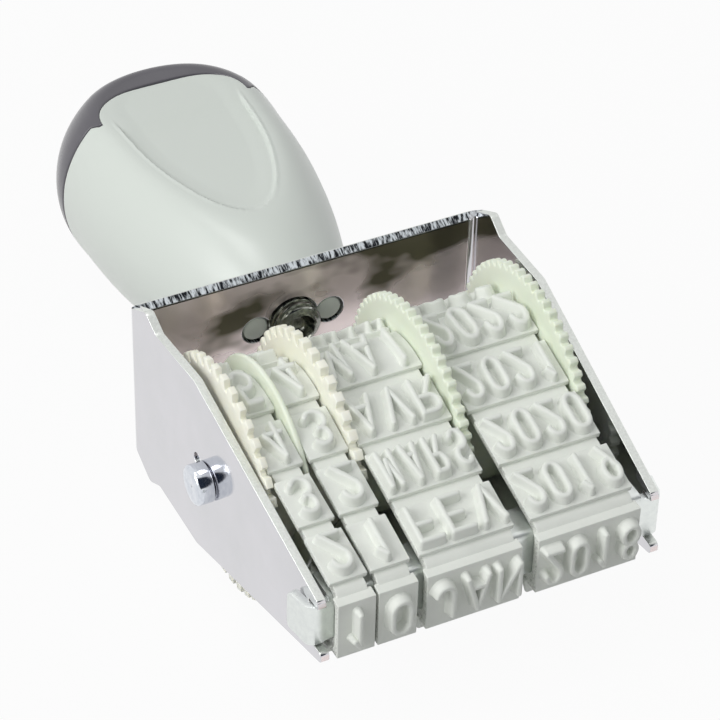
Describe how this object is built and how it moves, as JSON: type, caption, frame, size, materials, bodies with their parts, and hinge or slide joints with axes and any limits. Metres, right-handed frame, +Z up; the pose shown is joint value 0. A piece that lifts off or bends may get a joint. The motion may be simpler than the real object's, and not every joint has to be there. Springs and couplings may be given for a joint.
{
  "type": "date stamp",
  "caption": "Hand date stamp with turning toothed wheels, rubber date bands on a bent steel frame and a pear-shaped plastic handle, lying on its side.",
  "frame": {"origin": "middle of the bounding box seen from above, on the desk the stamp lies on", "axes": "+Y along the stamp from the printing face to the handle, +X along the wheel axle, +Z up from the desk"},
  "size_m": [0.0338, 0.0664, 0.0212],
  "materials": {
    "bright_steel": "polished plate",
    "pin_steel": "turned",
    "screw_steel": "threaded, dull",
    "cream_plastic": "moulded",
    "pale_plastic": "moulded",
    "type_rubber": "matte",
    "handle_plastic": "moulded, glossy",
    "cap_plastic": "moulded, satin"
  },
  "bodies": {
    "stamp_body": {"frame_bracket": "bright_steel", "print_saddle": "bright_steel", "axle_pin": "pin_steel", "axle_spacer": "pale_plastic", "band_day_tens": "type_rubber", "band_day_units": "type_rubber", "band_month": "type_rubber", "band_year": "type_rubber", "handle_body": "handle_plastic", "handle_cap": "cap_plastic", "handle_screw": "screw_steel", "screw_washer": "screw_steel"},
    "day_tens_turns": {"wheel_day_tens": "cream_plastic", "band_separator": "cream_plastic"},
    "day_units_turns": {"wheel_day_units": "cream_plastic"},
    "month_turns": {"wheel_month": "pale_plastic"},
    "year_turns": {"wheel_year": "pale_plastic"}
  },
  "joints": [
    {"name": "day_tens_turn", "type": "hinge", "parent": "stamp_body", "child": "day_tens_turns", "pos_m": [0, -0.01298, 0.0106], "axis": [1, 0, 0], "continuous": true},
    {"name": "day_units_turn", "type": "hinge", "parent": "stamp_body", "child": "day_units_turns", "pos_m": [0, -0.01298, 0.0106], "axis": [1, 0, 0], "continuous": true},
    {"name": "month_turn", "type": "hinge", "parent": "stamp_body", "child": "month_turns", "pos_m": [0, -0.01298, 0.0106], "axis": [1, 0, 0], "continuous": true},
    {"name": "year_turn", "type": "hinge", "parent": "stamp_body", "child": "year_turns", "pos_m": [0, -0.01298, 0.0106], "axis": [1, 0, 0], "continuous": true}
  ]
}
